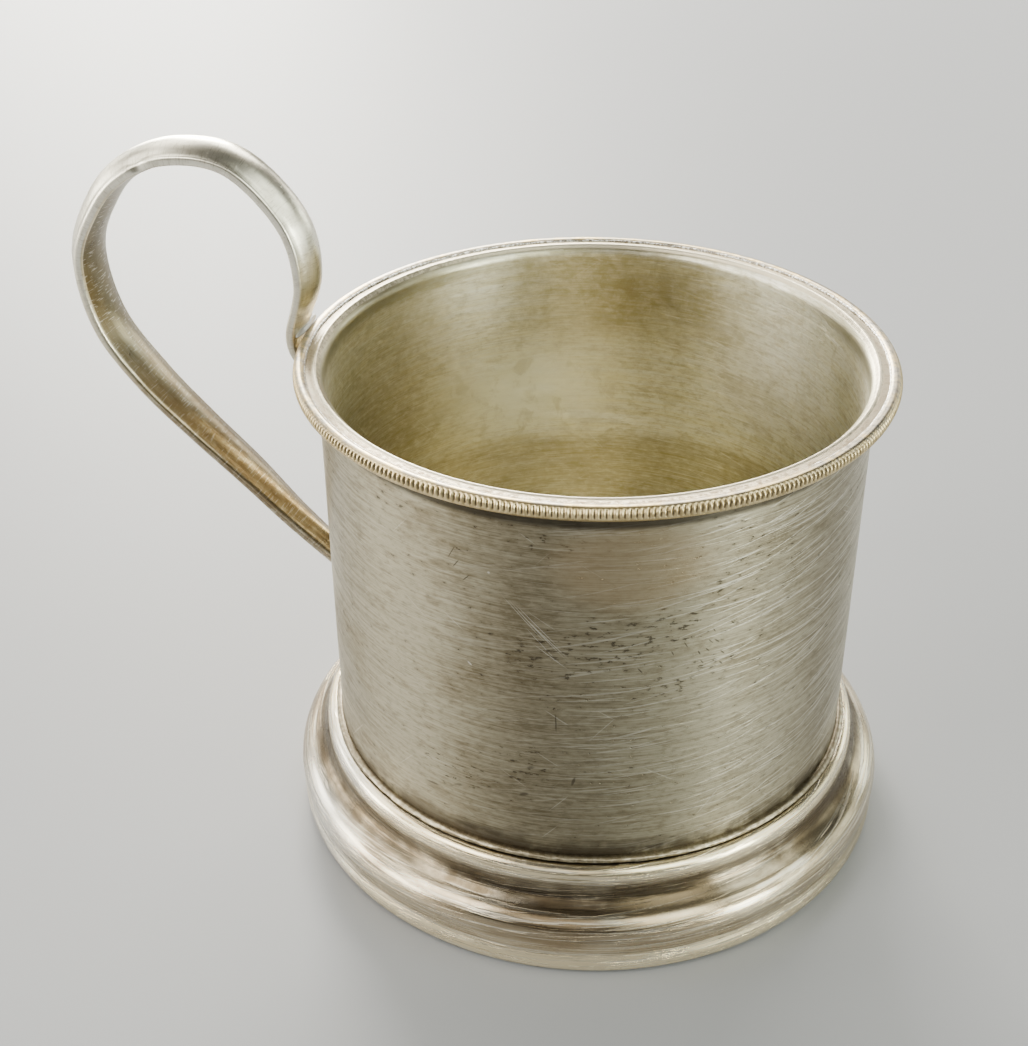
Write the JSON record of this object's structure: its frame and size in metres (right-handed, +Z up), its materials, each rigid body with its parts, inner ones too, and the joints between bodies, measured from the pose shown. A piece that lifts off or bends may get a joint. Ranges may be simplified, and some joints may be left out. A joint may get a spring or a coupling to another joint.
{
  "type": "footed mug",
  "caption": "Small straight-sided metal mug on a spreading foot, with a milled moulding round the mouth and a high open loop handle from mid-wall up over the rim.",
  "frame": {"origin": "on the cup's axis, in the plane of the table it stands on, 0.5 mm under the floor disc", "axes": "+Z up the cup's axis, -X toward the handle, +Y across the handle"},
  "size_m": [0.1113, 0.0824, 0.0915],
  "materials": {
    "wall": "worn satin, scratched round its length, darkened in patches",
    "rim": "bright milled edge with dark gaps",
    "floor": "dull, stained",
    "foot": "polished, fine circular scratches",
    "handle": "polished, fine cross scratches",
    "solder": "rough solder"
  },
  "bodies": {
    "root": {"cup_wall": "wall", "rim_moulding": "rim", "floor_disc": "floor", "foot_ring": "foot", "handle_strap": "handle", "foot_solder_seam": "solder", "upper_handle_solder": "solder", "lower_handle_solder": "solder"}
  },
  "joints": []
}
